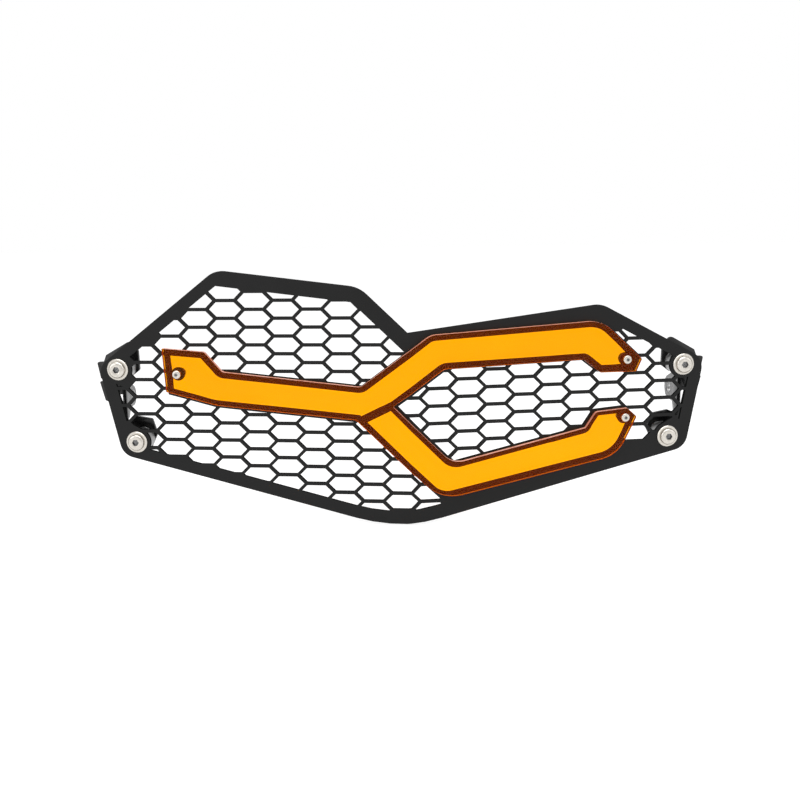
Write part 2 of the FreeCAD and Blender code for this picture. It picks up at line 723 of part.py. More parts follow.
def lock_nut(label, screw, kind, seat):
    """A hexagon nut with a round collar, which holds its locking ring, turned and then milled."""
    body = on_screw_axis(label, screw)
    corner = "%s_nut_flats / sqrt( 3 )" % kind
    face = "%s_nut_flats / 2" % kind
    slope = "( %s - %s ) / 2" % (corner, face)
    bore = "%s_screw_radius + ring_play" % kind
    collar = kind + "_nut_collar"
    hex_end = "%s + %s_nut_hex" % (seat, kind)
    end = "%s + %s_nut_height" % (seat, kind)
    turned(body, label + "_blank", [
        (bore, seat),
        (face, seat),
        (corner, "%s + %s" % (seat, slope)),
        (corner, "%s - %s" % (hex_end, slope)),
        (face, hex_end),
        (collar, hex_end),
        (collar, end + " - edge_break"),
        (collar + " - edge_break", end),
        (bore, end),
    ])
    flats = sketch_on(body, label + "_flats_outline", "XZ_Plane")
    add_polygon(flats, hexagon_corners(kind + "_nut_flats"))
    add_circle(flats, ("0", "0"), kind + "_nut_flats")
    pocket_through(body, label + "_flats", flats)
    return body


def fasteners():
    pieces = []
    bore = "mount_screw_radius + ring_play"
    bracket_back = "( %s + bracket_thick )" % BRACKET_FRONT
    nut_seat = "( %s + washer_thick )" % bracket_back
    for screw in MOUNT_SCREWS:
        pieces.append(button_screw(screw + "_mount_screw", screw, "mount", "0"))
        pieces.append(ring(screw + "_spacer", screw, "spacer_radius", bore,
                           "plate_thick", BRACKET_FRONT, "spacer_edge"))
        pieces.append(ring(screw + "_washer", screw, "washer_radius", bore,
                           bracket_back, nut_seat, "edge_break"))
        pieces.append(lock_nut(screw + "_lock_nut", screw, "mount", nut_seat))
    for screw in LENS_SCREWS:
        pieces.append(button_screw(screw + "_screw", screw, "lens", "( -1 * %s )" % LENS_FRONT))
        pieces.append(ring(screw + "_washer", screw, "lens_washer_radius",
                           "lens_screw_radius + ring_play", "( -1 * lens_gap )", "0",
                           "edge_break"))
        pieces.append(lock_nut(screw + "_nut", screw, "lens", "plate_thick"))
    return pieces


def check(pieces):
    doc.recompute()
    for thing in doc.Objects:
        if "Invalid" in thing.State or "Error" in thing.State:
            raise RuntimeError("%s failed: %s" % (thing.Label, thing.State))
    for piece in pieces:
        if piece.Shape.isNull() or not piece.Shape.isValid() or not piece.Shape.Solids:
            raise RuntimeError("%s has no valid solid" % piece.Label)


parts = [grille_plate(), accent_lens(), bracket("left"), bracket("right")] + fasteners()
check(parts)
os.makedirs("parts", exist_ok=True)
for piece in parts:
    piece.Shape.exportStep("parts/%s.step" % piece.Label)
    print(piece.Label, len(piece.Shape.Solids), round(piece.Shape.Volume, 1))
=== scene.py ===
import json
import math

import bmesh
import bpy
from mathutils import Euler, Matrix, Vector


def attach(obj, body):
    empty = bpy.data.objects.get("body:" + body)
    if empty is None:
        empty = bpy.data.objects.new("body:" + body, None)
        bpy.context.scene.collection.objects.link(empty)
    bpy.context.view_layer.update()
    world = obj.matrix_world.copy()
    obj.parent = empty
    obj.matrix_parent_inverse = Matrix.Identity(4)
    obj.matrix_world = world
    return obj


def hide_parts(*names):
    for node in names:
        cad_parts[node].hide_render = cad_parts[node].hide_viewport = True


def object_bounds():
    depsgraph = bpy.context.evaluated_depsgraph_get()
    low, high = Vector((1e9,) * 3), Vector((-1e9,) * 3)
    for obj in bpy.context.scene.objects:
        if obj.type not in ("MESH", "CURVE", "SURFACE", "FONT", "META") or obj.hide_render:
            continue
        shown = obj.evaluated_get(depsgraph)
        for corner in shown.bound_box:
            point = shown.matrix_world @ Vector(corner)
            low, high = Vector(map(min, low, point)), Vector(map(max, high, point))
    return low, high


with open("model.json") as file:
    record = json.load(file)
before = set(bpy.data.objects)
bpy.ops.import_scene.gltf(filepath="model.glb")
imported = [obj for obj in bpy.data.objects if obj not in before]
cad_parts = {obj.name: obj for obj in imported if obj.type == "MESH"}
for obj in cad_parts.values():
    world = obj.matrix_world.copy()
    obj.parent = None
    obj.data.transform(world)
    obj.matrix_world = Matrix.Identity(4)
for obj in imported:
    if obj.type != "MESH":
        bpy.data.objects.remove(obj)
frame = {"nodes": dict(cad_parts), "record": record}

cad_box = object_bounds()
MM = 0.001

# The camera at the photograph's viewing angle, in metres and degrees.
CAMERA_PLACE = (-0.0063, -0.6655, 0.1177)
CAMERA_TURN = (79.455, 0.798, -0.631)
CAMERA_LENS = 43.90

# The floor lies just under the lowest point of the plate.
FLOOR_DROP = 0.0005
FLOOR_SIZE = 12.0

FOLD = math.radians(6.7)
COSINE = math.cos(FOLD)
SINE = math.sin(FOLD)
WHITE = (1.0, 1.0, 1.0)

# From the fold's front edge to the part's own frame, in millimetres. Below, u runs across the
# unfolded plate from the fold, v runs up, and depth runs back from the plate's front face.
FOLD_TO_PART = (5.562, -56.0, 4.0)
PLATE_BACK = 2.0
SPACER_BACK = 14.0
BRACKET_THICK = 2.5
LENS_FRONT = -4.2
LENS_BACK = -1.2
LENS_BEVEL = 0.5

# The lens's outline, clockwise from the top of its tail, as u, v and corner radius.
LENS_OUTLINE = (
    (-160.2, 33.6, 0.6), (-132.3, 31.3, 3.0), (-120.8, 18.3, 4.0), (-31.5, 8.8, 5.0),
    (12.7, 41.5, 12.0), (123.4, 47.9, 21.0), (150.9, 22.4, 1.5), (147.3, 14.2, 1.0),
    (123.3, 14.2, 1.0), (112.0, 23.0, 1.5), (21.3, 19.7, 6.0), (-10.9, -3.7, 0.6),
    (26.4, -42.0, 14.0), (114.1, -21.9, 1.5), (120.9, -11.6, 3.5), (141.9, -9.8, 1.0),
    (148.4, -15.6, 1.5), (136.1, -41.1, 22.0), (19.4, -65.7, 25.0), (-34.8, -12.6, 0.6),
    (-125.4, -3.6, 30.0), (-158.6, 5.2, 0.6))
LENS_HOLE = 2.2

# The grille plate's outlines, clockwise, as u, v and corner radius: its rim, the solid band under
# the lens, the light slots in that band, and the two areas that carry the mesh.
RIM_OUTLINE = (
    (-204.7, 20.9, 11.0), (-123.7, 83.1, 15.0), (-31.9, 71.8, 20.0), (-1.7, 42.9, 0.0),
    (124.3, 58.1, 15.0), (194.6, 20.6, 11.0), (184.0, -38.4, 11.0), (-8.6, -85.8, 115.0),
    (-192.0, -37.9, 11.0))
BAND_OUTLINE = (
    (-160.2, 33.1, 0.0), (-133.8, 30.9, 0.0), (-123.3, 19.0, 0.0), (-31.4, 9.2, 0.0),
    (12.2, 41.5, 0.0), (125.1, 48.0, 0.0), (151.5, 23.6, 0.0), (147.4, 14.2, 0.0),
    (122.0, 14.2, 0.0), (111.9, 22.1, 0.0), (23.8, 18.9, 0.0), (-8.2, -4.3, 0.0),
    (27.6, -41.1, 0.0), (112.7, -21.6, 0.0), (120.0, -10.6, 0.0), (140.8, -8.8, 0.0),
    (148.4, -15.6, 0.0), (135.6, -42.2, 0.0), (19.6, -66.6, 0.0), (-33.3, -14.8, 0.0),
    (-126.7, -5.5, 0.0), (-158.5, 2.9, 0.0))
SLOT_OUTLINE = (
    (-135.9, 26.8, 0.0), (-124.8, 14.2, 8.9), (-30.5, 4.2, 9.6), (14.3, 37.3, 7.7),
    (123.0, 43.6, 16.3), (146.2, 22.1, 0.0), (144.6, 18.5, 0.0), (125.4, 18.5, 0.0),
    (115.2, 26.5, 5.8), (20.7, 23.1, 11.2), (-16.2, -3.7, 0.0), (25.6, -46.6, 12.9),
    (116.6, -25.7, 7.0), (123.8, -14.8, 0.0), (139.5, -13.4, 0.0), (144.1, -17.5, 0.0),
    (134.1, -38.1, 17.7), (20.3, -62.1, 12.3), (-32.9, -10.0, 0.0), (-127.7, -0.6, 25.5),
    (-155.2, 6.7, 0.0), (-156.4, 28.5, 0.0))
LEFT_WINDOW = (
    (-124.3, 73.1, 0.0), (-36.7, 62.3, 2.5), (-1.5, 28.6, 0.0), (-44.9, -3.5, 0.0),
    (22.0, -69.0, 0.0), (-10.6, -77.0, 106.0), (-184.7, -31.5, 0.0), (-195.5, 18.4, 0.0))
RIGHT_WINDOW = (
    (13.0, 39.4, 0.0), (130.5, 46.2, 0.0), (185.8, 16.7, 0.0), (176.8, -33.0, 0.0),
    (72.6, -33.0, 0.0), (4.3, -48.6, 0.0), (-43.1, -2.2, 0.0))
BRIDGE = (-18.75, -7.1)
BRIDGE_SIZE = (27.2, 5.3)
BRIDGE_TURN = math.radians(26)
TAB_RADIUS = 4.2
BOSS_RADIUS = 9.2
WEBS = {"left_upper": (-185.8, 6.3), "left_lower": (-187.6, -15.6), "right_lower": (177.8, -16.1)}
STRAND = 2.1
CELL_ROW = 11.4
CELL_COLUMN = 18.7
CELL_START = {"left": (-81.1, 1.1), "right": (55.5, 1.1)}
LEAST_OPENING = 3.0
# Cells at the windows' corners that stay uncut, by a point near their middle.
UNCUT = ((-167.1, 39.3), (131.4, 44.0), (160.2, -31.1))
UNCUT_REACH = 4.0
OVERCUT = 1.0

LENS_SCREWS = {"lens_left_screw": (-150.9, 16.7), "lens_upper_screw": (140.8, 22.2),
               "lens_lower_screw": (140.5, -15.9)}
# Screws: radii, heights, the socket's width across flats and its depths, and the thread's pitch.
LENS_SCREW_TIP = 7.8
LENS_SHANK = 2.0
LENS_HEAD = 2.85
LENS_HEAD_HEIGHT = 1.65
LENS_HEAD_CURVE = 1.1
LENS_SOCKET = 2.0
LENS_SOCKET_DEPTH = 1.0
LENS_SOCKET_POINT = 1.15
LENS_SOCKET_EDGE = 0.12
LENS_PITCH = 0.7
MOUNT_HEAD = 5.45
MOUNT_HEAD_HEIGHT = 3.3
MOUNT_HEAD_CURVE = 1.9
MOUNT_FLANGE = 7.05
MOUNT_FLANGE_THICK = 1.1
MOUNT_FLANGE_EDGE = 0.35
MOUNT_SOCKET = 4.0
MOUNT_SOCKET_DEPTH = 2.1
MOUNT_SOCKET_POINT = 2.4
MOUNT_SOCKET_EDGE = 0.2
MOUNT_SHANK = 3.0
MOUNT_SCREW_TIP = 25.0
MOUNT_PITCH = 1.0
SOCKET_FLARE = 1.25
# The groove where a large head's dome meets its flange.
GROOVE_DEPTH = 0.2
GROOVE_IN = 0.3
GROOVE_OUT = 0.4

MOUNT_SCREWS = {"left_upper": (-191.8, 19.2), "left_lower": (-181.9, -29.1),
                "right_upper": (180.6, 17.3), "right_lower": (171.4, -30.4)}
SPACER_RADIUS = 7.5
SPACER_BORE = 3.1
SPACER_EDGE = 0.5
SPACER_GROOVE_INSET = 2.2
SPACER_GROOVE_HALF = 0.2
SPACER_GROOVE_DEPTH = 0.15
WASHER_THICK = 1.6
MOUNT_NUT_HEIGHT = 6.0
LENS_NUT_HEIGHT = 5.0
# The nuts' locking rings: bore, outer radius and depth. They stand a little proud of the collar.
MOUNT_INSERT = (3.02, 3.9, 1.2)
LENS_INSERT = (2.02, 2.7, 1.0)
INSERT_PROUD = 0.08
BOLT_HOLE = 3.3
LUG_RADIUS = {"left": 6.8, "right": 7.8}
LUG_REACH = {"left": 0.0, "right": 3.0}
LUG_ANGLES = range(75, -97, -9)
WALL_X = {"left": -190.06, "right": 180.33}
WALL_LAP = 0.6
BORE_REACH = 0.35
BRACKET_EDGE = 0.3
CIRCLE_STEPS = 40
TURN_STEPS = 48
DOME_STEPS = 8

# A bracket's flange, as outward, up and corner radius from its upper and from its lower screw.
EAR = (
    (-3.5, 17.2, 3.0), (13.5, 7.6, 1.0), (15.2, 3.2, 0.6), (20.0, 2.9, 1.2), (18.0, -8.2, 0.8),
    (14.6, -9.2, 0.4), (19.0, -10.4, 0.8), (15.8, -23.2, 1.0), (10.0, -25.4, 1.0))
FOOT = (
    (12.0, -2.0, 3.0), (7.0, -8.4, 2.0), (-1.5, -9.0, 2.0), (-4.8, -6.2, 2.0), (-9.0, 2.5, 1.5),
    (-6.0, 12.8, 1.5), (5.5, 14.8, 2.0))
HEEL = ((-3.6, -6.7, 1.0), (-9.2, -2.4, 2.0), (-8.9, 10.5, 2.0))

# The flange's inner edge between its ears, up along the bend, with a notch beside the wall.
NECK = {
    "left": ((1.2, -36.7, 0.0), (1.2, -27.0, 0.0), (3.9, -26.0, 0.5), (5.9, -20.0, 0.5),
             (5.9, -19.0, 0.5), (1.2, -19.0, 0.0), (1.2, -6.7, 0.0)),
    "right": ((2.6, -35.5, 0.0), (2.6, -31.0, 0.0), (5.9, -30.0, 0.5), (7.9, -20.0, 0.5),
              (7.9, -18.5, 0.5), (2.6, -18.5, 0.0), (2.6, -6.7, 0.0))}

# The wall's upper and lower edge from the bend to the lug, as back, up and corner radius from the
# bolt's axis. The two corners at the bend have no place of their own: they lie on the flange.
WALL_BEND_UP = 14.3
WALL_BEND_RADIUS = 0.5
WALL_SHOULDER = (-11.0, 13.4, 6.0)
WALL_LOW = {"left": ((-9.5, -6.6, 2.0), (-13.0, -12.8, 2.0)),
            "right": ((-9.0, -8.0, 2.0), (-11.5, -13.7, 2.0))}
WALL_BOTTOM = {"left": -12.9, "right": -13.9}

FILL_STRENGTH = 0.55
FLOOR_GREY = 0.5
FLOOR_LIFT = 0.74

# Each lamp's name, place, width, height and power. All aim at the part's middle.
LAMPS = (("top_light", (0.0, -0.25, 1.1), 1.4, 1.0, 9.0),
         ("left_light", (-1.1, -0.7, 0.5), 0.9, 0.9, 3.0),
         ("right_light", (1.1, -0.6, 0.5), 0.9, 0.9, 1.5))


def new_material(name):
    material = bpy.data.materials.new(name)
    material.use_nodes = True
    tree = material.node_tree
    return material, tree, tree.nodes["Principled BSDF"]


def add_noise(tree, scale, detail):
    place = tree.nodes.new("ShaderNodeTexCoord")
    noise = tree.nodes.new("ShaderNodeTexNoise")
    noise.inputs["Scale"].default_value = scale
    noise.inputs["Detail"].default_value = detail
    tree.links.new(place.outputs["Object"], noise.inputs["Vector"])
    return noise.outputs["Fac"]


def add_ramp(tree, factor, low, high, start=0.3, end=0.7):
    """Turns a factor into a colour or a grey value between low and high."""
    ramp = tree.nodes.new("ShaderNodeValToRGB")
    ramp.color_ramp.elements[0].position = start
    ramp.color_ramp.elements[1].position = end
    ramp.color_ramp.elements[0].color = (*low, 1.0)
    ramp.color_ramp.elements[1].color = (*high, 1.0)
    tree.links.new(factor, ramp.inputs["Fac"])
    return ramp.outputs["Color"]


def add_bump(tree, shader, height, distance, strength):
    bump = tree.nodes.new("ShaderNodeBump")
    bump.inputs["Distance"].default_value = distance
    bump.inputs["Strength"].default_value = strength
    tree.links.new(height, bump.inputs["Height"])
    tree.links.new(bump.outputs["Normal"], shader.inputs["Normal"])


def grey(level):
    return (level, level, level)


def powder_coat(name, low, high, rough_low, rough_high, gloss):
    """Satin black powder coat: a fine pebbled skin whose sheen varies a little."""
    material, tree, shader = new_material(name)
    broad = add_noise(tree, 60.0, 3.0)
    fine = add_noise(tree, 2600.0, 1.0)
    tree.links.new(add_ramp(tree, broad, low, high), shader.inputs["Base Color"])
    tree.links.new(add_ramp(tree, broad, grey(rough_low), grey(rough_high)),
                   shader.inputs["Roughness"])
    shader.inputs["Specular IOR Level"].default_value = gloss
    add_bump(tree, shader, fine, 0.00002, 0.6)
    return material


def amber_plastic():
    """See-through amber sheet with a little haze, and a painted glow: a faint red emission that
    lightens it over the dark band.
    """
    material, tree, shader = new_material("amber_sheet")
    haze = add_noise(tree, 25.0, 2.0)
    tint = add_ramp(tree, haze, (1.0, 0.375, 0.0), (1.0, 0.395, 0.0))
    tree.links.new(tint, shader.inputs["Base Color"])
    shader.inputs["Transmission Weight"].default_value = 0.973
    # Painted glow: a faint red emission over the whole sheet, which shows where the sheet lies over
    # the dark band.
    shader.inputs["Emission Color"].default_value = (1.0, 0.0, 0.03, 1.0)
    shader.inputs["Emission Strength"].default_value = 0.02
    shader.inputs["Specular IOR Level"].default_value = 0.1
    shader.inputs["Roughness"].default_value = 0.02
    shader.inputs["IOR"].default_value = 1.15
    return material


def amber_edge():
    """The sheet's cut edges in orange, with painted light: their colour is painted lighter and pinker
    where they face up, and darker where they face down.
    """
    material, tree, shader = new_material("amber_cut_edge")
    marks = add_noise(tree, 700.0, 2.0)
    normal = tree.nodes.new("ShaderNodeNewGeometry")
    split = tree.nodes.new("ShaderNodeSeparateXYZ")
    tree.links.new(normal.outputs["Normal"], split.inputs["Vector"])
    # Painted highlight and shade: the edge colour follows how far each face turns up, not the
    # plastic's own colour.
    tint = add_ramp(tree, split.outputs["Z"], (0.60, 0.12, 0.04), (1.0, 0.42, 0.28), 0.3, 0.95)
    tree.links.new(tint, shader.inputs["Base Color"])
    tree.links.new(add_ramp(tree, marks, grey(0.25), grey(0.4)), shader.inputs["Roughness"])
    return material


def bare_metal(name, low, high, rough_low, rough_high, scale=900.0):
    """Turned or plated metal, with fine marks that change its gloss."""
    material, tree, shader = new_material(name)
    shader.inputs["Metallic"].default_value = 1.0
    marks = add_noise(tree, scale, 4.0)
    tree.links.new(add_ramp(tree, marks, low, high), shader.inputs["Base Color"])
    tree.links.new(add_ramp(tree, marks, grey(rough_low), grey(rough_high)),
                   shader.inputs["Roughness"])
    add_bump(tree, shader, marks, 0.00001, 0.3)
    return material


MATERIALS = {
    "black_coated_sheet": powder_coat("sheet_coat", grey(0.004), grey(0.007), 0.42, 0.52, 0.25),
    "black_coated_bracket": powder_coat("bracket_coat", grey(0.004), grey(0.007), 0.22, 0.3, 0.4),
    "amber_plastic": amber_plastic(),
    "turned_spacer": bare_metal("turned_spacer", grey(0.22), grey(0.30), 0.3, 0.4),
    "stainless_screw": bare_metal("stainless", (0.54, 0.51, 0.46), (0.66, 0.63, 0.58), 0.16, 0.26),
    "zinc_hardware": bare_metal("zinc_plate", grey(0.50), grey(0.62), 0.28, 0.38),
    "black_washer": powder_coat("nylon", grey(0.008), grey(0.012), 0.4, 0.5, 0.4),
}
SHEET_EDGE = powder_coat("sheet_edge", grey(0.003), grey(0.005), 0.8, 0.9, 0.02)
AMBER_EDGE = amber_edge()
# Painted shade: the inside of each socket gets a much darker copy of the screws' steel.
SOCKET_PAINTED_SHADE = bare_metal("socket_painted_shade", grey(0.05), grey(0.30), 0.25, 0.4, 1400.0)
NYLON = powder_coat("nylon_insert", (0.10, 0.22, 0.42), (0.14, 0.27, 0.48), 0.35, 0.45, 0.5)
FLAT_FACE = 0.9


def finish_cad_nodes():
    """Gives each piece its finish, and welds its loose points together."""
    slots = {row["node"]: row["material_slot"] for row in frame["record"]["subparts"]}
    for name, piece in frame["nodes"].items():
        piece.data.materials.clear()
        piece.data.materials.append(MATERIALS[slots[name]])
        weld = piece.modifiers.new("weld", "WELD")
        weld.merge_threshold = 0.001 * MM


def on_wing(u, depth, v, way=0):
    """Where a point of the unfolded plate lies, in metres. At the fold both wings meet in a mitre."""
    way = way or math.copysign(1, u)
    if u == 0:
        place = Vector((0.0, depth / COSINE, v))
    else:
        place = Vector((u * COSINE - way * depth * SINE, way * u * SINE + depth * COSINE, v))
    return (place + Vector(FOLD_TO_PART)) * MM


def rounded(corners):
    """Points round an outline whose corners (across, up, radius) are rounded by arcs."""
    points = []
    count = len(corners)
    for k, (across, up, radius) in enumerate(corners):
        here = Vector((across, up))
        if radius == 0:
            points.append(here)
            continue
        back = (Vector(corners[k - 1][:2]) - here).normalized()
        ahead = (Vector(corners[(k + 1) % count][:2]) - here).normalized()
        half = back.angle(ahead) / 2
        centre = here + (back + ahead).normalized() * (radius / math.sin(half))
        start = here + back * (radius / math.tan(half)) - centre
        end = here + ahead * (radius / math.tan(half)) - centre
        sweep = math.copysign(math.pi - 2 * half, start.x * end.y - start.y * end.x)
        steps = max(2, math.ceil(abs(sweep) / math.radians(7)))
        for n in range(steps + 1):
            turn = sweep * n / steps
            points.append(centre + Vector((
                start.x * math.cos(turn) - start.y * math.sin(turn),
                start.x * math.sin(turn) + start.y * math.cos(turn))))
    return points


def circle(across, up, radius):
    turns = [2 * math.pi * k / CIRCLE_STEPS for k in range(CIRCLE_STEPS)]
    return [Vector((across + radius * math.cos(turn), up + radius * math.sin(turn)))
            for turn in turns]


def cut_sheet(outlines, front, back, bevel):
    """A flat sheet in a new bmesh, as (across, depth, up). The first outline is its edge."""
    mesh = bmesh.new()
    loops = []
    for outline in outlines:
        loops.append([mesh.verts.new((point.x, front, point.y)) for point in outline])
    for loop in loops:
        for k, vert in enumerate(loop):
            mesh.edges.new((loop[k - 1], vert))
    bmesh.ops.triangle_fill(mesh, use_beauty=True, use_dissolve=False, edges=mesh.edges[:])
    faces = [[vert for vert in face.verts] for face in mesh.faces]
    partner = {vert: mesh.verts.new((vert.co.x, back, vert.co.z)) for vert in mesh.verts[:]}
    for verts in faces:
        mesh.faces.new([partner[vert] for vert in reversed(verts)])
    for loop in loops:
        for k, vert in enumerate(loop):
            mesh.faces.new((loop[k - 1], vert, partner[vert], partner[loop[k - 1]]))
    bmesh.ops.recalc_face_normals(mesh, faces=mesh.faces[:])
    bmesh.ops.dissolve_limit(mesh, angle_limit=math.radians(1), verts=mesh.verts[:],
                             edges=mesh.edges[:], use_dissolve_boundaries=False)
    rim = [edge for edge in mesh.edges if edge.is_manifold and edge.calc_face_angle() > 1.2
           and abs(edge.verts[0].co.y - edge.verts[1].co.y) < 0.01]
    bmesh.ops.bevel(mesh, geom=rim, offset=bevel, offset_type="OFFSET", segments=2, profile=0.5,
                    affect="EDGES", clamp_overlap=True)
    return mesh


def new_piece(name, mesh, materials, replaced=()):
    data = bpy.data.meshes.new(name)
    mesh.to_mesh(data)
    mesh.free()
    data.shade_smooth()
    data.set_sharp_from_angle(angle=math.radians(35))
    for material in materials:
        data.materials.append(material)
    piece = bpy.data.objects.new(name, data)
    bpy.context.scene.collection.objects.link(piece)
    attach(piece, "root")
    if replaced:
        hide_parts(*replaced)


def fold_sheet(mesh):
    """Parts a flat sheet at the fold and lays it along both wings."""
    bmesh.ops.bisect_plane(mesh, geom=mesh.verts[:] + mesh.edges[:] + mesh.faces[:],
                           plane_co=(0, 0, 0), plane_no=(1, 0, 0))
    for vert in mesh.verts:
        across = 0 if abs(vert.co.x) < 0.001 else vert.co.x
        vert.co = on_wing(across, vert.co.y, vert.co.z)


def plain_prism(outline):
    """A plain solid over an outline, a little deeper than the plate on both sides."""
    mesh = bmesh.new()
    front = [mesh.verts.new((point.x, -OVERCUT, point.y)) for point in outline]
    back = [mesh.verts.new((point.x, PLATE_BACK + OVERCUT, point.y)) for point in outline]
    mesh.faces.new(front)
    mesh.faces.new(back[::-1])
    for k in range(len(front)):
        mesh.faces.new((front[k], front[k - 1], back[k - 1], back[k]))
    bmesh.ops.recalc_face_normals(mesh, faces=mesh.faces[:])
    return mesh


def combined(first, second, operation):
    """Joins or cuts two solids. Both are used up."""
    things = []
    for mesh in (first, second):
        data = bpy.data.meshes.new("tool")
        mesh.to_mesh(data)
        mesh.free()
        things.append(bpy.data.objects.new("tool", data))
        bpy.context.scene.collection.objects.link(things[-1])
    boolean = things[0].modifiers.new("boolean", "BOOLEAN")
    boolean.operation = operation
    boolean.solver = "EXACT"
    boolean.object = things[1]
    result = bmesh.new()
    result.from_object(things[0], bpy.context.evaluated_depsgraph_get())
    for thing in things:
        data = thing.data
        bpy.data.objects.remove(thing)
        bpy.data.meshes.remove(data)
    return result


def mesh_cells(side, outline):
    """Long hexagons in staggered columns, as one mesh of separate solids."""
    half = (CELL_ROW - STRAND) / 2
    flat = CELL_COLUMN - 2 * half - STRAND * math.sqrt(2) + CELL_ROW / 2
    first_u, first_v = CELL_START[side]
    lows = [min(point[k] for point in outline) for k in (0, 1)]
    highs = [max(point[k] for point in outline) for k in (0, 1)]
    cells = bmesh.new()
    for k in range(math.floor((lows[0] - first_u) / CELL_COLUMN) - 1,
                   math.ceil((highs[0] - first_u) / CELL_COLUMN) + 2):
        for n in range(math.floor((lows[1] - first_v) / CELL_ROW) - 1,
                       math.ceil((highs[1] - first_v) / CELL_ROW) + 2):
            u = first_u + k * CELL_COLUMN
            v = first_v + (n + (k % 2) / 2) * CELL_ROW
            cell = plain_prism([Vector((u + across, v + up)) for across, up in (
                (-flat / 2 - half, 0), (-flat / 2, half), (flat / 2, half),
                (flat / 2 + half, 0), (flat / 2, -half), (-flat / 2, -half))])
            data = bpy.data.meshes.new("cell")
            cell.to_mesh(data)
            cell.free()
            cells.from_mesh(data)
            bpy.data.meshes.remove(data)
    return cells


def web_outline(name):
    """A wedge from a boss to its point in the mesh, with sides that touch the boss."""
    centre, tip = Vector(MOUNT_SCREWS[name]), Vector(WEBS[name])
    span = tip - centre
    heading = math.atan2(span.y, span.x)
    swing = math.acos(BOSS_RADIUS / span.length)
    touches = [centre + BOSS_RADIUS * Vector((math.cos(heading + turn), math.sin(heading + turn)))
               for turn in (swing, -swing)]
    return [centre, touches[0], tip, touches[1]]


def drop_slivers(mesh):
    """Takes out the separate solids that would cut too small an opening, or that stay uncut."""
    left = set(mesh.verts)
    small = []
    while left:
        island, queue = set(), [left.pop()]
        while queue:
            vert = queue.pop()
            island.add(vert)
            for edge in vert.link_edges:
                other = edge.other_vert(vert)
                if other in left:
                    left.remove(other)
                    queue.append(other)
        area = sum(face.calc_area() for face in {face for vert in island for face in vert.link_faces}
                   if face.normal.y < -FLAT_FACE)
        middle = sum((vert.co for vert in island), Vector()) / len(island)
        uncut = any(math.hypot(middle.x - u, middle.z - v) < UNCUT_REACH for u, v in UNCUT)
        if area < LEAST_OPENING or uncut:
            small += island
    bmesh.ops.delete(mesh, geom=small, context="VERTS")


def add_grille():
    """The folded, cut plate: its rim, hexagon mesh, the band's light slots, and the bosses."""
    plate = plain_prism(rounded(RIM_OUTLINE))
    for vert in plate.verts:
        vert.co.y = 0.0 if vert.co.y < 0 else PLATE_BACK
    for side, window in (("left", LEFT_WINDOW), ("right", RIGHT_WINDOW)):
        area = combined(plain_prism(rounded(window)), plain_prism(rounded(BAND_OUTLINE)),
                        "DIFFERENCE")
        for name, place in MOUNT_SCREWS.items():
            if name.startswith(side):
                area = combined(area, plain_prism(circle(*place, BOSS_RADIUS)), "DIFFERENCE")
                if name in WEBS:
                    area = combined(area, plain_prism(web_outline(name)), "DIFFERENCE")
        openings = combined(mesh_cells(side, window), area, "INTERSECT")
        drop_slivers(openings)
        plate = combined(plate, openings, "DIFFERENCE")
    slots = plain_prism(rounded(SLOT_OUTLINE))
    half = (BRIDGE_SIZE[0] / 2, BRIDGE_SIZE[1] / 2)
    bridge = [Vector(BRIDGE) + Vector((
        across * math.cos(BRIDGE_TURN) - up * math.sin(BRIDGE_TURN),
        across * math.sin(BRIDGE_TURN) + up * math.cos(BRIDGE_TURN)))
        for across, up in ((-half[0], -half[1]), (-half[0], half[1]), half, (half[0], -half[1]))]
    slots = combined(slots, plain_prism(bridge), "DIFFERENCE")
    for place in LENS_SCREWS.values():
        slots = combined(slots, plain_prism(circle(*place, TAB_RADIUS)), "DIFFERENCE")
    plate = combined(plate, slots, "DIFFERENCE")
    for place in MOUNT_SCREWS.values():
        plate = combined(plate, plain_prism(circle(*place, BOLT_HOLE)), "DIFFERENCE")
    for place in LENS_SCREWS.values():
        plate = combined(plate, plain_prism(circle(*place, LENS_HOLE)), "DIFFERENCE")
    for face in plate.faces:
        face.material_index = 0 if abs(face.normal.y) > FLAT_FACE else 1
    fold_sheet(plate)
    new_piece("cut_grille", plate, [MATERIALS["black_coated_sheet"], SHEET_EDGE],
              ["grille_plate"])


def add_lens():
    outlines = [rounded(LENS_OUTLINE)]
    outlines += [circle(u, v, LENS_HOLE) for u, v in LENS_SCREWS.values()]
    mesh = cut_sheet(outlines, LENS_FRONT, LENS_BACK, LENS_BEVEL)
    for face in mesh.faces:
        face.material_index = 0 if abs(face.normal.y) > FLAT_FACE else 1
    fold_sheet(mesh)
    new_piece("moulded_lens", mesh, [MATERIALS["amber_plastic"], AMBER_EDGE],
              ["accent_lens"])


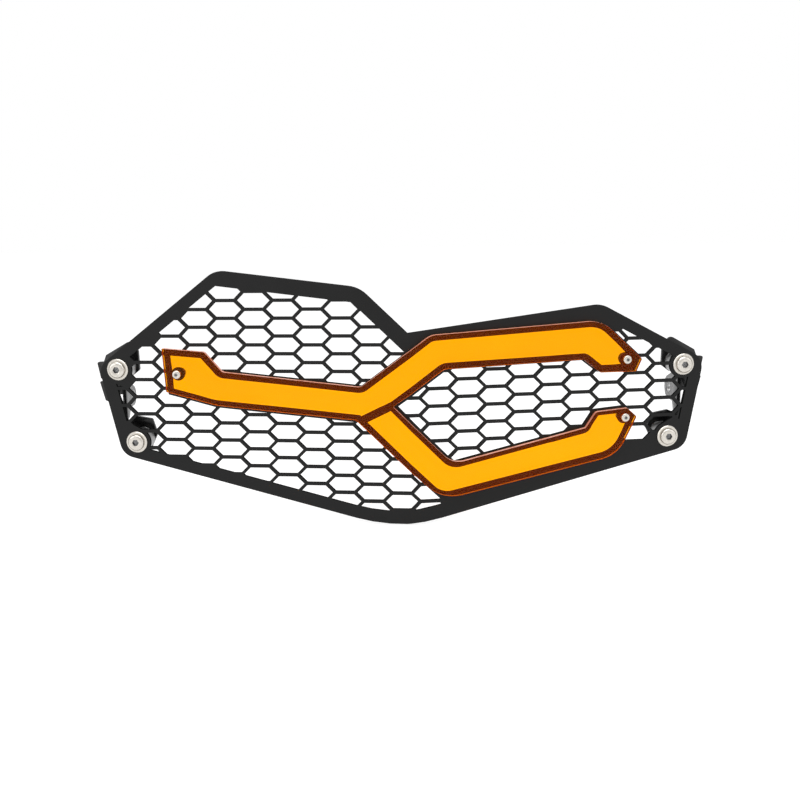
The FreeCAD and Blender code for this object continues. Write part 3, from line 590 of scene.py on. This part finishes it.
def turned(name, profile, place, slot, replaced=(), material=None, inner=0):
    """A turned piece on a screw's axis. Its profile is (radius, depth, is_hexagon) in order.

    The first faces, as many rows as inner says, are the inside of a socket, and get a darker copy of
    the steel as painted shade."""
    mesh = bmesh.new()
    rings = []
    for radius, depth, is_hexagon in profile:
        ring = []
        for k in range(TURN_STEPS if radius else 1):
            angle = 2 * math.pi * k / TURN_STEPS
            reach = radius
            if is_hexagon:
                reach /= math.cos(math.fmod(angle, math.pi / 3) - math.pi / 6)
            ring.append(mesh.verts.new(on_wing(place[0] + reach * math.cos(angle), depth,
                                               place[1] + reach * math.sin(angle))))
        rings.append(ring)
    closed = profile[0][0] > 0
    for k in range(0 if closed else 1, len(rings)):
        before, after = rings[k - 1], rings[k]
        for n in range(TURN_STEPS):
            corners = [before[n % len(before)], before[(n + 1) % len(before)],
                       after[(n + 1) % len(after)], after[n % len(after)]]
            face = mesh.faces.new(list(dict.fromkeys(corners)))
            face.material_index = 1 if 0 < k <= inner else 0
    bmesh.ops.recalc_face_normals(mesh, faces=mesh.faces[:])
    materials = [material or MATERIALS[slot]]
    if inner:
        # The socket's inside takes the darker steel, painted shade for the recess.
        materials.append(SOCKET_PAINTED_SHADE)
    new_piece(name, mesh, materials, replaced)


def dome(radius, top, height, curve):
    """The turned rim of a button head, from its flat top out and down to its side."""
    points = []
    for k in range(DOME_STEPS + 1):
        angle = math.pi / 2 * k / DOME_STEPS
        points.append((radius - curve + curve * math.sin(angle),
                       top + curve - curve * math.cos(angle), False))
    points.append((radius, top + height, False))
    return points


def threads(radius, start, end, pitch):
    """A shank's ridges between two depths."""
    points = []
    for k in range(int((end - start) / pitch)):
        low = start + k * pitch
        points += [(radius, low, False), (radius, low + 0.15 * pitch, False),
                   (radius - 0.3 * pitch, low + 0.6 * pitch, False)]
    points.append((radius - 0.3 * pitch, end, False))
    return points


def add_lens_screws():
    """Small button heads with a countersunk hexagon socket, and a rolled thread."""
    top = LENS_FRONT - LENS_HEAD_HEIGHT
    socket = LENS_SOCKET / 2
    for name, place in LENS_SCREWS.items():
        profile = [(0, top + LENS_SOCKET_POINT, False), (socket, top + LENS_SOCKET_DEPTH, True),
                   (socket, top + LENS_SOCKET_EDGE, True), (socket * SOCKET_FLARE, top, False)]
        profile += dome(LENS_HEAD, top, LENS_HEAD_HEIGHT, LENS_HEAD_CURVE)
        profile += threads(LENS_SHANK, LENS_FRONT, LENS_SCREW_TIP, LENS_PITCH)
        profile.append((0, LENS_SCREW_TIP, False))
        turned("threaded_" + name, profile, place, "stainless_screw", [name], inner=2)


def add_mount_screws():
    """Large button heads on a round flange, with a groove where the dome meets the flange."""
    top = -MOUNT_HEAD_HEIGHT
    socket = MOUNT_SOCKET / 2
    flange = -MOUNT_FLANGE_THICK
    for name, place in MOUNT_SCREWS.items():
        profile = [(0, top + MOUNT_SOCKET_POINT, False), (socket, top + MOUNT_SOCKET_DEPTH, True),
                   (socket, top + MOUNT_SOCKET_EDGE, True), (socket * SOCKET_FLARE, top, False)]
        profile += dome(MOUNT_HEAD, top, MOUNT_HEAD_HEIGHT + flange + GROOVE_DEPTH,
                        MOUNT_HEAD_CURVE)
        profile += [(MOUNT_HEAD + GROOVE_IN, flange + GROOVE_DEPTH, False),
                    (MOUNT_HEAD + GROOVE_OUT, flange, False),
                    (MOUNT_FLANGE - MOUNT_FLANGE_EDGE, flange, False),
                    (MOUNT_FLANGE, flange + MOUNT_FLANGE_EDGE, False),
                    (MOUNT_FLANGE, 0.0, False), (MOUNT_SHANK, 0.0, False)]
        profile += threads(MOUNT_SHANK, SPACER_BACK, MOUNT_SCREW_TIP, MOUNT_PITCH)
        profile.append((0, MOUNT_SCREW_TIP, False))
        turned(name + "_threaded_screw", profile, place, "stainless_screw",
               [name + "_mount_screw"], inner=2)


def add_spacers():
    """Turned spacers with broken edges and two fine tool grooves."""
    for name, place in MOUNT_SCREWS.items():
        front, back = PLATE_BACK, SPACER_BACK
        profile = [(SPACER_BORE, front, False), (SPACER_RADIUS - SPACER_EDGE, front, False),
                   (SPACER_RADIUS, front + SPACER_EDGE, False)]
        for groove in (front + SPACER_GROOVE_INSET, back - SPACER_GROOVE_INSET):
            profile += [(SPACER_RADIUS, groove - SPACER_GROOVE_HALF, False),
                        (SPACER_RADIUS - SPACER_GROOVE_DEPTH, groove, False),
                        (SPACER_RADIUS, groove + SPACER_GROOVE_HALF, False)]
        profile += [(SPACER_RADIUS, back - SPACER_EDGE, False),
                    (SPACER_RADIUS - SPACER_EDGE, back, False), (SPACER_BORE, back, False)]
        turned(name + "_turned_spacer", profile, place, "turned_spacer", [name + "_spacer"])


def add_nylon_inserts():
    """The locking ring that shows inside each nut's collar."""
    mount_back = SPACER_BACK + BRACKET_THICK + WASHER_THICK + MOUNT_NUT_HEIGHT
    rings = [(name, place, mount_back, MOUNT_INSERT) for name, place in MOUNT_SCREWS.items()]
    rings += [(name.replace("_screw", ""), place, PLATE_BACK + LENS_NUT_HEIGHT, LENS_INSERT)
              for name, place in LENS_SCREWS.items()]
    for name, place, back, (bore, radius, depth) in rings:
        profile = [(bore, back - depth, False), (radius, back - depth, False),
                   (radius, back + INSERT_PROUD, False), (bore, back + INSERT_PROUD, False)]
        turned(name + "_nut_insert", profile, place, "black_washer", material=NYLON)


def add_bracket(side):
    """A bent bracket: a flange with two ears behind the plate, and a wall that ends in a lug."""
    way = -1 if side == "left" else 1
    upper, lower = MOUNT_SCREWS[side + "_upper"], MOUNT_SCREWS[side + "_lower"]
    corners = [(upper[0] + way * out, upper[1] + up, radius) for out, up, radius in EAR]
    corners += [(lower[0] + way * out, lower[1] + up, radius) for out, up, radius in FOOT]
    corners += [(upper[0] + way * out, upper[1] + up, radius) for out, up, radius in NECK[side] + HEEL]
    outlines = [rounded(corners)]
    outlines += [circle(u, v, BOLT_HOLE) for u, v in (upper, lower)]
    flange = cut_sheet(outlines, SPACER_BACK, SPACER_BACK + BRACKET_THICK, BRACKET_EDGE)
    for vert in flange.verts:
        vert.co = on_wing(vert.co.x, vert.co.y, vert.co.z, way)
    # The wall runs straight back from the flange.
    start = abs(WALL_X[side]) * math.tan(FOLD) + SPACER_BACK + WALL_LAP + FOLD_TO_PART[1]
    lug = [(LUG_REACH[side] + LUG_RADIUS[side] * math.cos(math.radians(angle)),
            LUG_RADIUS[side] * math.sin(math.radians(angle)), 0) for angle in LUG_ANGLES]
    profile = [(start, WALL_BEND_UP, WALL_BEND_RADIUS), WALL_SHOULDER, *lug, *WALL_LOW[side],
               (start, WALL_BOTTOM[side], WALL_BEND_RADIUS)]
    near = WALL_X[side] + FOLD_TO_PART[0]
    wall = cut_sheet([rounded(profile), circle(0, 0, BOLT_HOLE)], near, near + way * BRACKET_THICK,
                     BRACKET_EDGE)
    for face in wall.faces:
        bored = all(math.hypot(vert.co.x, vert.co.z) < BOLT_HOLE + BORE_REACH
                    for vert in face.verts)
        face.material_index = 1 if bored else 0
    for vert in wall.verts:
        vert.co = Vector((vert.co.y, vert.co.x, vert.co.z)) * MM
    bmesh.ops.recalc_face_normals(wall, faces=wall.faces[:])
    joined = bpy.data.meshes.new("wall")
    wall.to_mesh(joined)
    wall.free()
    flange.from_mesh(joined)
    bpy.data.meshes.remove(joined)
    new_piece(side + "_bent_bracket", flange,
              [MATERIALS["black_coated_bracket"], MATERIALS["zinc_hardware"]],
              [side + "_bracket"])


def add_camera():
    data = bpy.data.cameras.new("camera")
    data.lens = CAMERA_LENS
    data.sensor_width = 36.0
    data.dof.use_dof = False
    camera = bpy.data.objects.new("camera", data)
    bpy.context.scene.collection.objects.link(camera)
    camera.location = CAMERA_PLACE
    camera.rotation_euler = Euler([math.radians(angle) for angle in CAMERA_TURN], "XYZ")
    bpy.context.scene.camera = camera


def add_softbox(name, place, width, height, power):
    data = bpy.data.lights.new(name, "AREA")
    data.shape = "RECTANGLE"
    data.size = width
    data.size_y = height
    data.energy = power
    lamp = bpy.data.objects.new(name, data)
    bpy.context.scene.collection.objects.link(lamp)
    lamp.location = place
    lamp.rotation_euler = (-Vector(place)).to_track_quat("-Z", "Y").to_euler()


def seen_directly(tree):
    """1 for rays from the camera, mirrors and clear pieces, and 0 for the light they gather."""
    path = tree.nodes.new("ShaderNodeLightPath")
    first = tree.nodes.new("ShaderNodeMath")
    first.operation = "MAXIMUM"
    tree.links.new(path.outputs["Is Camera Ray"], first.inputs[0])
    tree.links.new(path.outputs["Is Glossy Ray"], first.inputs[1])
    second = tree.nodes.new("ShaderNodeMath")
    second.operation = "MAXIMUM"
    tree.links.new(first.outputs["Value"], second.inputs[0])
    tree.links.new(path.outputs["Is Transmission Ray"], second.inputs[1])
    return second.outputs["Value"]


def add_world():
    world = bpy.data.worlds.new("studio")
    world.use_nodes = True
    tree = world.node_tree
    tree.nodes.clear()
    seen = tree.nodes.new("ShaderNodeBackground")
    seen.inputs["Color"].default_value = (*WHITE, 1.0)
    seen.inputs["Strength"].default_value = 1.0
    fill = tree.nodes.new("ShaderNodeBackground")
    fill.inputs["Color"].default_value = (*WHITE, 1.0)
    fill.inputs["Strength"].default_value = FILL_STRENGTH
    mix = tree.nodes.new("ShaderNodeMixShader")
    output = tree.nodes.new("ShaderNodeOutputWorld")
    tree.links.new(seen_directly(tree), mix.inputs["Fac"])
    tree.links.new(fill.outputs["Background"], mix.inputs[1])
    tree.links.new(seen.outputs["Background"], mix.inputs[2])
    tree.links.new(mix.outputs["Shader"], output.inputs["Surface"])
    bpy.context.scene.world = world


def add_floor():
    """A white floor that clips to the background's white and keeps a faint shadow."""
    height = cad_box[0].z - FLOOR_DROP
    half = FLOOR_SIZE / 2
    mesh = bpy.data.meshes.new("floor")
    corners = [(-half, -half, height), (half, -half, height), (half, half, height),
               (-half, half, height)]
    mesh.from_pydata(corners, [], [(0, 1, 2, 3)])
    floor = bpy.data.objects.new("floor", mesh)
    bpy.context.scene.collection.objects.link(floor)
    material, tree, shader = new_material("floor_white")
    shader.inputs["Base Color"].default_value = (*grey(FLOOR_GREY), 1.0)
    shader.inputs["Roughness"].default_value = 0.9
    shader.inputs["Specular IOR Level"].default_value = 0.0
    glow = tree.nodes.new("ShaderNodeEmission")
    glow.inputs["Color"].default_value = (*WHITE, 1.0)
    lift = tree.nodes.new("ShaderNodeMath")
    lift.operation = "MULTIPLY"
    lift.inputs[1].default_value = FLOOR_LIFT
    tree.links.new(seen_directly(tree), lift.inputs[0])
    tree.links.new(lift.outputs["Value"], glow.inputs["Strength"])
    add = tree.nodes.new("ShaderNodeAddShader")
    tree.links.new(shader.outputs["BSDF"], add.inputs[0])
    tree.links.new(glow.outputs["Emission"], add.inputs[1])
    tree.links.new(add.outputs["Shader"], tree.nodes["Material Output"].inputs["Surface"])
    mesh.materials.append(material)


finish_cad_nodes()
add_grille()
add_lens()
add_lens_screws()
add_mount_screws()
add_spacers()
add_nylon_inserts()
add_bracket("left")
add_bracket("right")
add_camera()
add_world()
add_floor()
for lamp in LAMPS:
    add_softbox(*lamp)

bpy.context.scene.view_settings.view_transform = "Standard"
